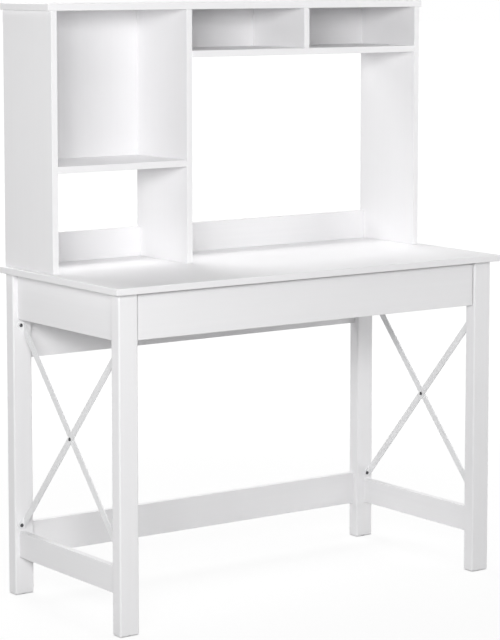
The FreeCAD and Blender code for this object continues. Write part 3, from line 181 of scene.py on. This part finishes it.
floor_mesh = bpy.data.meshes.new("studio_floor")
shape = bmesh.new()
bmesh.ops.create_circle(shape, cap_ends=True, segments=FLOOR_SIDES, radius=FLOOR_REACH)
shape.to_mesh(floor_mesh)
shape.free()
studio_floor = bpy.data.objects.new("studio_floor", floor_mesh)
bpy.context.scene.collection.objects.link(studio_floor)
floor_mesh.materials.append(floor_paint())

ROOM_LIGHT = 0.02
ROOM_LOOK = 1.0


def room_walls():
    """Walls that look white and give only a little light of their own."""
    walls = Finish(bpy.data.worlds.new("studio"), "ShaderNodeOutputWorld")
    dim, bright = [
        walls.node("ShaderNodeBackground", inputs={
            "Color": WHITE, "Strength": strength})["Background"]
        for strength in (ROOM_LIGHT, ROOM_LOOK)]
    return walls.shared(walls.seen(), dim, bright)


bpy.context.scene.world = room_walls()


def lamp(name, place, target, width, height, power):
    """A soft oblong lamp that faces a point and isn't seen itself."""
    data = bpy.data.lights.new(name, "AREA")
    data.shape = "RECTANGLE"
    data.size = width
    data.size_y = height
    data.energy = power
    item = bpy.data.objects.new(name, data)
    item.location = place
    item.rotation_euler = (Vector(target) - Vector(place)).to_track_quat("-Z", "Y").to_euler()
    item.visible_camera = False
    bpy.context.scene.collection.objects.link(item)


DESK_HEART = (0.0, 0.1, 1.0)
lamp("front_left_lamp", (-2.4, -3.4, 1.8), (0.0, 0.0, 1.2), 1.6, 0.8, 72)
lamp("left_lamp", (-2.6, -1.9, 1.5), (0.0, 0.0, 1.25), 1.0, 0.6, 30)
lamp("left_rear_lamp", (-2.252, 1.4, 1.5), DESK_HEART, 1.6, 1.6, 8.5)
lamp("front_right_lamp", (2.252, -1.2, 1.5), DESK_HEART, 1.6, 1.6, 20)
lamp("right_lamp", (2.6, 0.1, 1.5), DESK_HEART, 1.6, 1.6, 18)
lamp("rear_lamp", (0.0, 3.2, 3.6), DESK_HEART, 2.2, 2.2, 127)
lamp("high_lamp", (0.0, -1.5, 3.6), DESK_HEART, 2.0, 2.0, 17)

# ------------------------------------------------------------------ legs and their glides
# The legs are oblong posts of board wrapped in white foil, with their figure running up
# the post. Each stands on a round glide of grey moulded plastic, held by a nail.

FOIL_WHITE = (0.893, 0.889, 0.898, 1)
FOIL_SHADE = (0.878, 0.874, 0.884, 1)
FOIL_ROUGHNESS = 0.4
FIGURE_LENGTH = 2.2       # features of the pressed figure for each metre along the board
FIGURE_FINENESS = 150.0   # and across it
FIGURE_DEPTH = 0.00005
FIGURE_STEP = 1.7         # metres by which the figure moves on from board to board
FIGURE_COURSE = (1.0, 0.37, 0.71)
TURNS = {"x": (0, 0, 0), "y": (0, 0, math.radians(90)), "z": (0, math.radians(90), 0)}
STREAK_SHARE = 0.6        # of the streaks in the foil's tone; the rest are clouds
TONE_LOW = 0.38
TONE_HIGH = 0.66
PORE_HEIGHT = 0.6         # share of the streaks' height


def around(middle, spread, figure):
    """A number that follows a figure, spread evenly round its middle."""
    return spread * figure + (middle - spread / 2)


def white_foil(name, along, start):
    """Satin foil with a faint figure along one axis; start moves it so that no boards match."""
    foil = Finish(bpy.data.materials.new(name))
    place = foil.place()
    figure = foil.node("ShaderNodeMapping", {"vector_type": "TEXTURE"}, {
        "Vector": place,
        "Location": tuple(start * part for part in FIGURE_COURSE),
        "Rotation": TURNS[along],
        "Scale": (1 / FIGURE_LENGTH, 1 / FIGURE_FINENESS, 1 / FIGURE_FINENESS),
    })["Vector"]
    streaks = foil.noise(figure, scale=1.0, detail=5.0, roughness=0.62, distortion=0.35)
    clouds = foil.noise(place, scale=5.0, detail=2.0, roughness=0.5)
    pores = foil.noise(figure, scale=2.6, detail=3.0, roughness=0.55)
    tone = foil.node("ShaderNodeMapRange", inputs={
        "Value": STREAK_SHARE * streaks + (1 - STREAK_SHARE) * clouds,
        "From Min": TONE_LOW, "From Max": TONE_HIGH})["Result"]
    return foil.coated({
        "Base Color": foil.blend(tone, FOIL_WHITE, FOIL_SHADE),
        "Roughness": around(FOIL_ROUGHNESS, 0.14, pores),
        "Normal": foil.relief(0.14, FIGURE_DEPTH, streaks + PORE_HEIGHT * pores),
    })


def dress(material, *names):
    """Gives pieces their finish."""
    for name in names:
        slots = nodes[name].data.materials
        slots.clear()
        slots.append(material)


boards_wrapped = []


def wrap(along, *names):
    """Wraps boards in foil of their own, with the figure running along one axis."""
    for name in names:
        boards_wrapped.append(name)
        dress(white_foil("foil_" + name, along, FIGURE_STEP * len(boards_wrapped)), name)


def darker(colour, share):
    """A colour with a share of its light taken away."""
    return tuple(channel * (1 - share) for channel in colour[:3]) + (1,)


def moulded(name, colour, roughness):
    """Matte moulded plastic with a fine spark-eroded texture."""
    plastic = Finish(bpy.data.materials.new(name))
    spark = plastic.noise(plastic.place(), scale=900.0, detail=2.0, roughness=0.6)
    return plastic.coated({
        "Base Color": plastic.blend(spark, colour, darker(colour, 0.08)),
        "Roughness": around(roughness, 0.1, spark),
        "Normal": plastic.relief(0.3, 0.00004, spark),
    })


wrap("z", "leg_front_left", "leg_front_right", "leg_rear_left", "leg_rear_right")
dress(moulded("glide_plastic", (0.2, 0.2, 0.205, 1), 0.6), "foot_glides")

# ------------------------------------------------------------------ aprons, panel, stretchers
# Boards on edge tie the legs together: an apron and a low stretcher at each side, and
# behind the sitter's knees a tall panel over a stretcher. The figure runs along each.

wrap("y", "side_apron_left", "side_apron_right", "side_stretcher_left", "side_stretcher_right")
wrap("x", "rear_panel", "rear_stretcher")

# ------------------------------------------------------------------ braces
# Each side frame has a cross of flat steel bars in white powder coat. Their ends are bent
# flat on the legs and held by blackened domed screws, with a bolt and nut at the crossing.

COAT_WHITE = (0.88, 0.882, 0.888, 1)
COAT_SHADE = (0.86, 0.862, 0.868, 1)
COAT_ROUGHNESS = 0.45


def powder_coat(name, white, shade):
    """Powder coat with a fine orange-peel surface."""
    coat = Finish(bpy.data.materials.new(name))
    place = coat.place()
    peel = coat.noise(place, scale=420.0, detail=2.0, roughness=0.5)
    drift = coat.noise(place, scale=22.0, detail=3.0, roughness=0.6)
    return coat.coated({
        "Base Color": coat.blend(drift, white, shade),
        "Roughness": around(COAT_ROUGHNESS, 0.1, drift),
        "Normal": coat.relief(0.5, 0.00002, peel),
    })


def metal(name, colour, roughness, grain_scale, variation, metallic=1.0):
    """Metal with a fine uneven surface."""
    finish = Finish(bpy.data.materials.new(name))
    grain = finish.noise(finish.place(), grain_scale, detail=3.0, roughness=0.6)
    return finish.coated({
        "Base Color": finish.blend(grain, colour, darker(colour, variation)),
        "Metallic": metallic,
        "Roughness": around(roughness, 0.2, grain),
        "Normal": finish.relief(0.25, 0.00005, grain),
    })


dress(powder_coat("brace_coat", COAT_WHITE, COAT_SHADE),
      "brace_rising_left", "brace_falling_left", "brace_rising_right", "brace_falling_right")
dress(metal("blackened_steel", (0.095, 0.095, 0.1, 1), 0.4, 500.0, 0.3, metallic=0.8),
      "brace_screws", "brace_cross_bolts", "brace_cross_nuts")

# ------------------------------------------------------------------ desktop
# One board with softly rounded edges lies on the legs. Zinc plated angle brackets and
# short screws tie it to the aprons and to the rear panel from below.

wrap("x", "desktop")
zinc_plate = metal("zinc_plate", (0.62, 0.62, 0.6, 1), 0.34, 260.0, 0.18)
dress(zinc_plate, "desktop_brackets", "bracket_screws")

# ------------------------------------------------------------------ drawer
# The drawer is a box of foiled boards round a thin bottom. Its wide front has no handle
# and is pulled by its lower edge. Beech dowels join the box to the front.

BEECH_PALE = (0.66, 0.48, 0.3, 1)
BEECH_DARK = (0.5, 0.33, 0.19, 1)
BEECH_ROUGHNESS = 0.65


def beech(name):
    """Raw beech with short flecks."""
    wood = Finish(bpy.data.materials.new(name))
    fleck = wood.noise(wood.place(), scale=300.0, detail=4.0, roughness=0.6)
    return wood.coated({
        "Base Color": wood.blend(fleck, BEECH_PALE, BEECH_DARK),
        "Roughness": around(BEECH_ROUGHNESS, 0.1, fleck),
    })


wrap("x", "drawer_front", "drawer_back", "drawer_bottom")
wrap("y", "drawer_side_left", "drawer_side_right")
raw_beech = beech("raw_beech")
dress(raw_beech, "drawer_dowels")

# ------------------------------------------------------------------ runners
# Battens on the aprons carry the fixed runners, and the drawer has runners of its own.
# Both are folded sheet steel in epoxy coat, and roll on nylon wheels with zinc plated pins.

wrap("y", "runner_batten_left", "runner_batten_right")
dress(powder_coat("runner_coat", (0.76, 0.765, 0.75, 1), (0.72, 0.725, 0.71, 1)),
      "cabinet_rail_left", "cabinet_rail_right", "drawer_rail_left", "drawer_rail_right")
dress(moulded("nylon", (0.8, 0.8, 0.76, 1), 0.45),
      "front_roller_left", "front_roller_right", "rear_roller_left", "rear_roller_right")
dress(zinc_plate, "front_roller_pins", "rear_roller_pins", "batten_screws",
      "cabinet_rail_screws", "drawer_rail_screws")

# ------------------------------------------------------------------ hutch
# Three uprights under one long top board make a closed cube over a low bay at the left,
# and two cubbies over a wide bay at the right. Low rails run along the wall, and thin
# backs are pinned into the cube and the cubbies.

wrap("z", "hutch_panel_left", "hutch_panel_middle", "hutch_panel_right", "cubby_divider")
wrap("x", "hutch_top", "cube_shelf", "cubby_shelf", "hutch_rail_left", "hutch_rail_right")
wrap("z", "cube_back")
wrap("x", "cubby_back")
dress(zinc_plate, "back_pins")

# ------------------------------------------------------------------ fastenings of the boards
# The boards meet on beech dowels and zinc plated cam bolts with cast cams, and on long
# connecting screws. White plastic caps close what would be seen.

dress(raw_beech, "dowels")
dress(zinc_plate, "cam_bolts", "connecting_screws")
dress(metal("die_cast", (0.55, 0.55, 0.56, 1), 0.5, 180.0, 0.25), "cam_locks")
dress(moulded("cap_plastic", (0.84, 0.838, 0.845, 1), 0.5), "cam_caps", "screw_caps")
